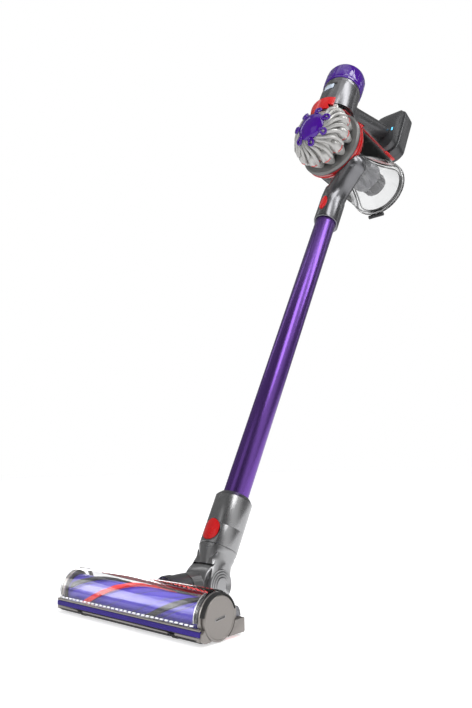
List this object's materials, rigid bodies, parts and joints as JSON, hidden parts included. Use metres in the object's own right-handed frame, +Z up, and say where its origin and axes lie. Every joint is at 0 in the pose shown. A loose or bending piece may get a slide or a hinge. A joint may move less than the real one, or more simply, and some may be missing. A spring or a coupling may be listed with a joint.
{
  "type": "cordless stick vacuum",
  "caption": "Cordless stick vacuum: powered floor head on a swivelling neck, slim wand, and hand-held unit with cyclones, clear dust bin, motor, filters and battery.",
  "frame": {"origin": "on the floor, below the middle of the object's bounding box", "axes": "+Z up; +X along the brush bar towards its coin-slot end cap; -Y the way the floor head faces; the wand leans back towards +Y"},
  "size_m": [0.25, 0.753, 0.9094],
  "materials": {
    "black": "plain",
    "blue_light": "lit",
    "board": "lacquered",
    "cell_wrap": "shrink wrapped",
    "clear": "clear",
    "copper": "wound",
    "dark_grey": "fine texture",
    "indigo": "gloss",
    "indigo_felt": "short pile",
    "light_grey": "satin",
    "motor_metal": "plain",
    "nickel": "satin metallic coat",
    "paper": "pleated",
    "red": "gloss",
    "red_clear": "tinted, translucent",
    "rubber": "matt",
    "smoke_clear": "smoked, clear",
    "steel": "plain",
    "violet_anodised": "satin anodised",
    "violet_clear": "tinted, translucent",
    "warm_grey": "satin metallic coat"
  },
  "bodies": {
    "handheld": {"inlet_duct": "nickel", "motor_housing": "nickel", "motor": "motor_metal", "control_board": "board", "handle_grip": "dark_grey", "trigger_switch": "black", "runner_spine": "dark_grey", "battery_dock": "dark_grey", "battery_case": "dark_grey", "battery_cells": "cell_wrap", "battery_screw_1": "steel", "battery_screw_2": "steel", "charge_light": "blue_light"},
    "trigger": {"trigger": "red"},
    "mode_slider": {"mode_slider": "blue_light"},
    "rotor": {"rotor": "copper"},
    "bayonet": {"bayonet_ring": "violet_clear"},
    "exhaust_filter": {"filter_cap": "violet_clear", "filter_pleats": "paper"},
    "unit_button": {"wand_release_button": "red"},
    "cyclone_pack": {"cyclone_rim": "dark_grey", "cyclone_cones": "light_grey", "cyclone_crown": "light_grey", "crown_gasket": "red", "shroud": "dark_grey", "shroud_skirt": "black", "lift_lever": "red"},
    "pre_filter_unit": {"pre_filter_cap": "violet_clear", "pre_filter": "paper"},
    "push_rod": {"push_rod": "red"},
    "dust_bin": {"bin_body": "clear", "bin_collar": "red_clear", "bin_hinge_pin": "steel"},
    "bin_lid": {"bin_lid": "clear", "lid_seal": "rubber"},
    "bin_catch": {"bin_catch": "red"},
    "wand": {"wand_tube": "violet_anodised", "wand_cuff": "nickel", "wand_wiring": "black"},
    "head_button": {"head_release_button": "red"},
    "neck": {"neck_fork": "nickel", "pivot_pin": "steel", "hub_cover": "warm_grey"},
    "elbow": {"elbow": "nickel"},
    "floor_head": {"head_chassis": "warm_grey", "sole_plate": "dark_grey", "window_cover": "clear", "front_bumper": "warm_grey", "soft_strip": "indigo_felt", "comb_rail": "red", "brush_motor": "motor_metal", "end_seal": "rubber", "smoked_cover": "smoke_clear", "neck_pipe": "nickel"},
    "brush_bar": {"brush_core": "indigo", "bristle_strip": "red", "carbon_strip": "black"},
    "roller_left": {"front_roller_left": "rubber"},
    "roller_right": {"front_roller_right": "rubber"},
    "end_cap": {"end_cap": "warm_grey"}
  },
  "joints": [
    {"name": "trigger_pull", "type": "hinge", "parent": "handheld", "child": "trigger", "pos_m": [0, 0.17562, 0.81195], "axis": [1, 0, 0], "range_deg": [0, 8], "stiffness_Nm_per_rad": 0.3, "springref_deg": -5.73},
    {"name": "mode_select", "type": "hinge", "parent": "handheld", "child": "mode_slider", "pos_m": [0, 0.12579, 0.83136], "axis": [0, 0.4825, 0.8759], "range_deg": [-6, 6]},
    {"name": "rotor_spin", "type": "hinge", "parent": "handheld", "child": "rotor", "pos_m": [0, 0.12579, 0.83136], "axis": [0, 0.4825, 0.8759], "continuous": true},
    {"name": "bayonet_turn", "type": "hinge", "parent": "handheld", "child": "bayonet", "pos_m": [0, 0.12579, 0.83136], "axis": [0, 0.4825, 0.8759], "range_deg": [0, 30]},
    {"name": "exhaust_filter_pull", "type": "slide", "parent": "bayonet", "child": "exhaust_filter", "axis": [0, 0.4825, 0.8759], "range_m": [0, 0.045]},
    {"name": "wand_release", "type": "slide", "parent": "handheld", "child": "unit_button", "axis": [0, 0.8759, -0.4825], "range_m": [0, 0.0011], "stiffness_N_per_m": 800, "springref_m": -0.001},
    {"name": "cyclone_lift", "type": "slide", "parent": "handheld", "child": "cyclone_pack", "axis": [0, -0.9821, 0.1882], "range_m": [0, 0.055]},
    {"name": "pre_filter_pull", "type": "slide", "parent": "cyclone_pack", "child": "pre_filter_unit", "axis": [0, -0.9821, 0.1882], "range_m": [0, 0.12]},
    {"name": "push_rod_slide", "type": "slide", "parent": "handheld", "child": "push_rod", "axis": [0, 0.9821, -0.1882], "range_m": [0, 0.005], "stiffness_N_per_m": 400, "springref_m": -0.002},
    {"name": "bin_slide", "type": "slide", "parent": "handheld", "child": "dust_bin", "axis": [0, 0.9821, -0.1882], "range_m": [0, 0.165]},
    {"name": "bin_lid_open", "type": "hinge", "parent": "dust_bin", "child": "bin_lid", "pos_m": [0, 0.24591, 0.6435], "axis": [-1, 0, 0], "range_deg": [0, 95]},
    {"name": "bin_catch_turn", "type": "hinge", "parent": "dust_bin", "child": "bin_catch", "pos_m": [0, 0.24803, 0.76609], "axis": [1, 0, 0], "range_deg": [0, 8]},
    {"name": "wand_pull", "type": "slide", "parent": "handheld", "child": "wand", "axis": [0, -0.4825, -0.8759], "range_m": [0, 0.044]},
    {"name": "head_release", "type": "slide", "parent": "wand", "child": "head_button", "axis": [0, 0.8759, -0.4825], "range_m": [0, 0.0015], "stiffness_N_per_m": 800, "springref_m": -0.001},
    {"name": "neck_pull", "type": "slide", "parent": "wand", "child": "neck", "axis": [0, -0.4825, -0.8759], "range_m": [0, 0.016]},
    {"name": "elbow_pitch", "type": "hinge", "parent": "neck", "child": "elbow", "pos_m": [0, -0.24082, 0.026], "axis": [1, 0, 0], "range_deg": [-28.8, 51]},
    {"name": "neck_swivel", "type": "hinge", "parent": "elbow", "child": "floor_head", "pos_m": [0, -0.27952, 0.026], "axis": [0, 1, 0], "range_deg": [-90, 90]},
    {"name": "brush_spin", "type": "hinge", "parent": "floor_head", "child": "brush_bar", "pos_m": [0, -0.34952, 0.0225], "axis": [1, 0, 0], "continuous": true},
    {"name": "roller_left_spin", "type": "hinge", "parent": "floor_head", "child": "roller_left", "pos_m": [-0.079, -0.36752, 0.0043], "axis": [1, 0, 0], "continuous": true},
    {"name": "roller_right_spin", "type": "hinge", "parent": "floor_head", "child": "roller_right", "pos_m": [0.079, -0.36752, 0.0043], "axis": [1, 0, 0], "continuous": true},
    {"name": "end_cap_turn", "type": "hinge", "parent": "floor_head", "child": "end_cap", "pos_m": [0.12, -0.34952, 0.0225], "axis": [1, 0, 0], "range_deg": [0, 90]}
  ],
  "couplings": [
    {"joint": "bin_catch_turn", "follows": "push_rod_slide", "rad_per_m": 27.5}
  ]
}
